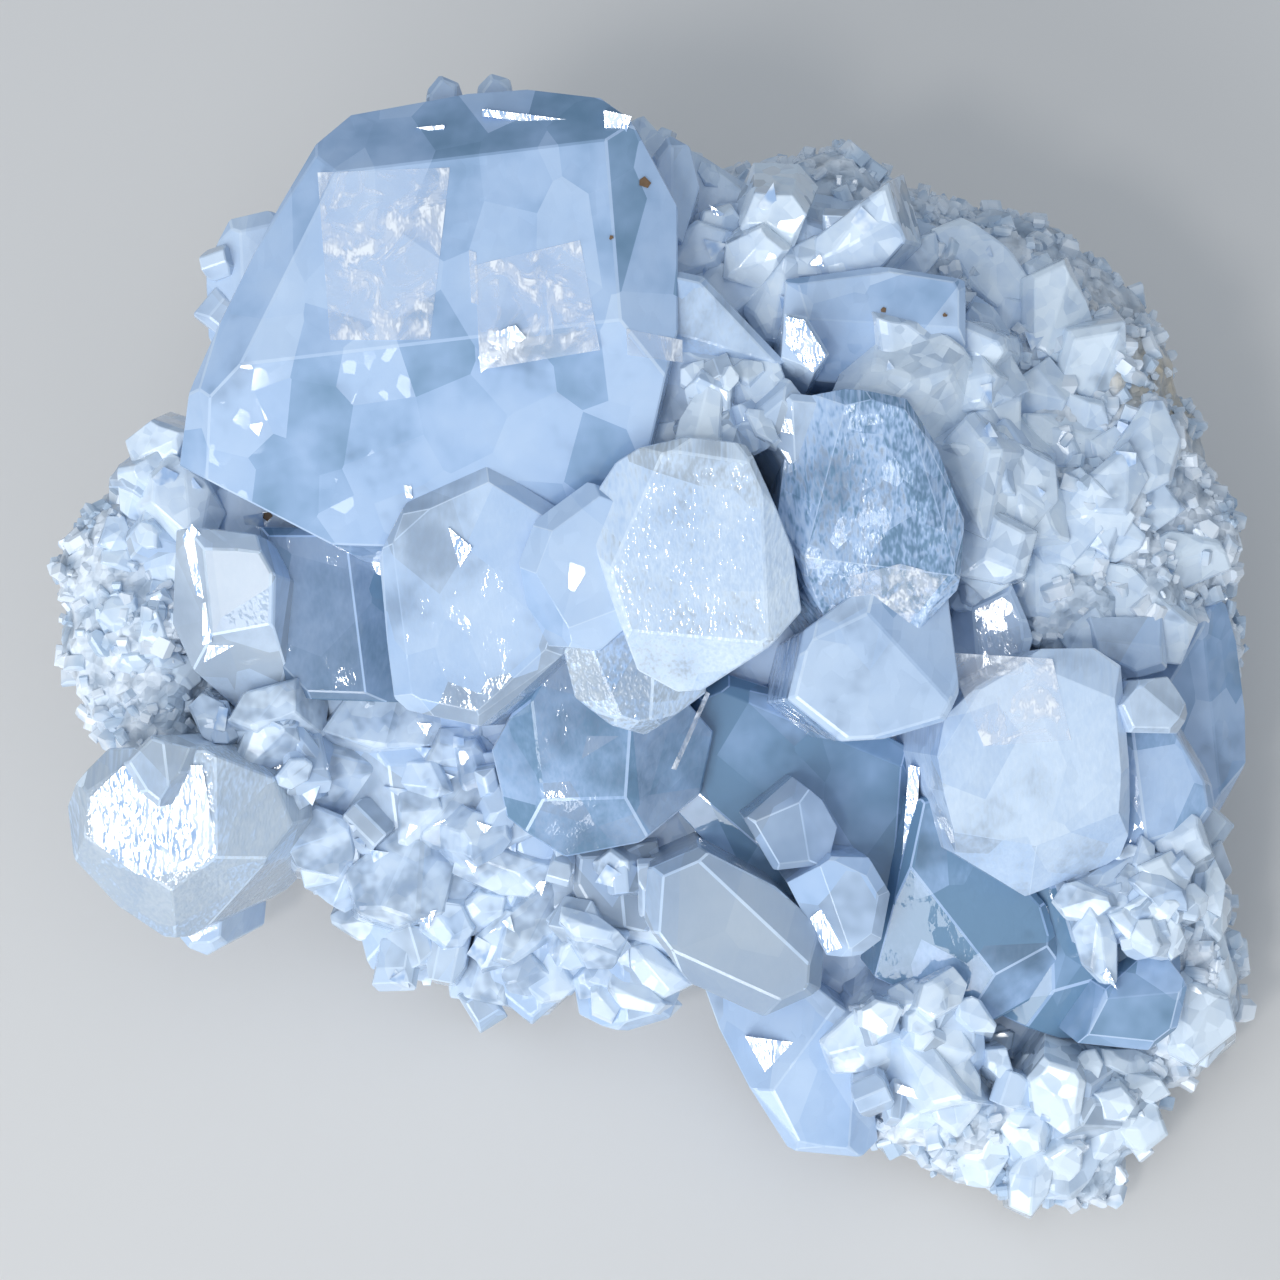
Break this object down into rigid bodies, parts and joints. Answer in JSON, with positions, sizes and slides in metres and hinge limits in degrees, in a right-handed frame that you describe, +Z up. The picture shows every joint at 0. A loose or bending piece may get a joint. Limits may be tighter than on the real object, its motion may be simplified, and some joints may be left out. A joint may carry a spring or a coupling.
{
  "type": "celestite crystal cluster",
  "caption": "Cluster of pale blue bladed and blocky celestite crystals grown together on a white granular matrix with a flat spot to rest on.",
  "frame": {"origin": "middle of the footprint at the surface that the specimen rests on", "axes": "+Z up, +X to the right and -Y towards the side that the crystal face leans to"},
  "size_m": [0.0978, 0.0834, 0.0556],
  "materials": {
    "crystals": "vitreous, pale blue, clear to milky",
    "matrix": "rough white granular crust"
  },
  "bodies": {
    "root": {"crystals": "crystals", "matrix": "matrix"}
  },
  "joints": []
}
